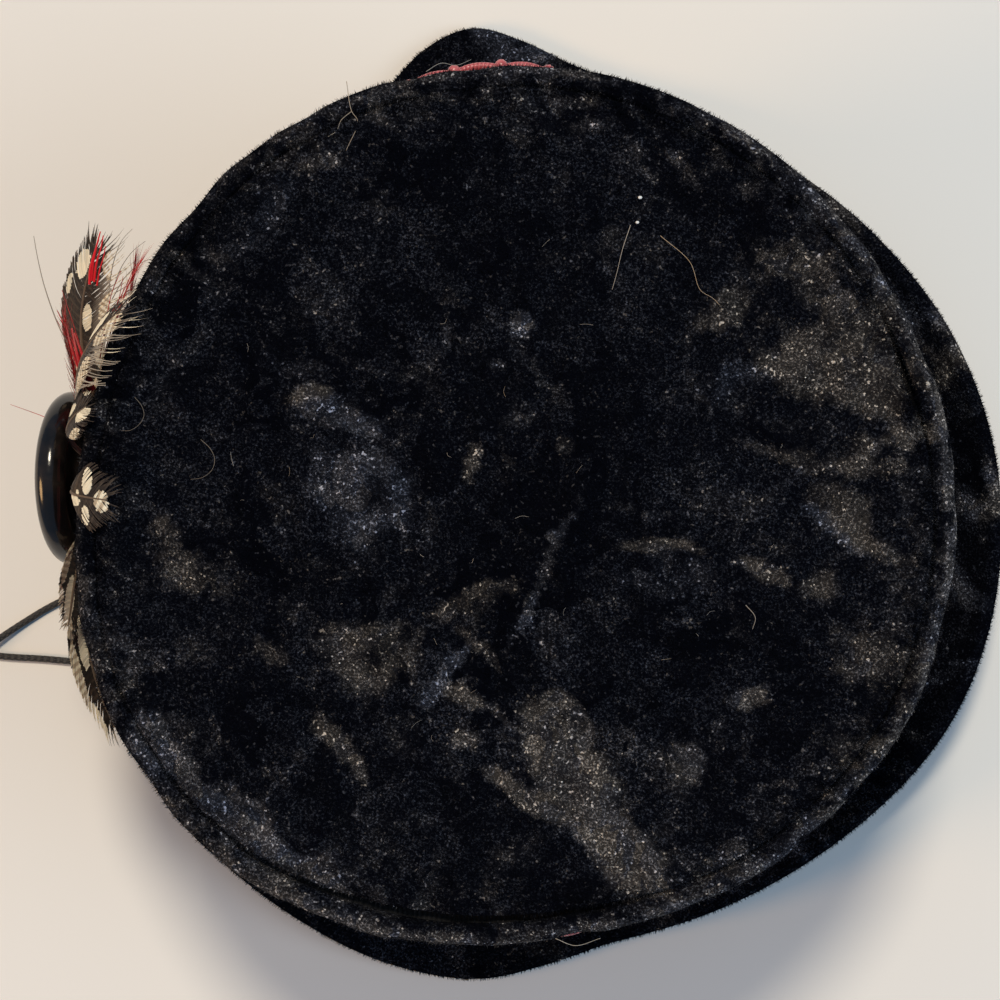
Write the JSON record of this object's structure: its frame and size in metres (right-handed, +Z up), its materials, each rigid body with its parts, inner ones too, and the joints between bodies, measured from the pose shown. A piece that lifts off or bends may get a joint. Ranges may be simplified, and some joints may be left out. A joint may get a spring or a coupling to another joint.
{
  "type": "mini top hat",
  "caption": "Miniature top hat in black crushed velvet with a curled brim, red picot braid, glossy button, spotted and red feathers, and a thin chin elastic.",
  "frame": {"origin": "middle of the head opening, on the surface the hat rests on", "axes": "+Z up through the crown, +Y towards the front, -X the side with the button and feathers"},
  "size_m": [0.2247, 0.1683, 0.0786],
  "materials": {
    "velvet": "crushed pile, dark with pale sheen",
    "braid": "satin thread",
    "button": "high gloss",
    "spotted_feather": "matt barbs with pale spots",
    "red_feather": "matt barbs",
    "elastic": "braided cover, matt"
  },
  "bodies": {
    "root": {"crown_tip": "velvet", "crown_side": "velvet", "brim": "velvet", "braid": "braid", "button": "button", "spotted_plume_1": "spotted_feather", "spotted_plume_2": "spotted_feather", "spotted_plume_3": "spotted_feather", "spotted_plume_4": "spotted_feather", "spotted_plume_5": "spotted_feather", "spotted_plume_6": "spotted_feather", "red_hackle_1": "red_feather", "red_hackle_2": "red_feather", "red_hackle_3": "red_feather", "red_hackle_4": "red_feather", "chin_elastic": "elastic"}
  },
  "joints": []
}
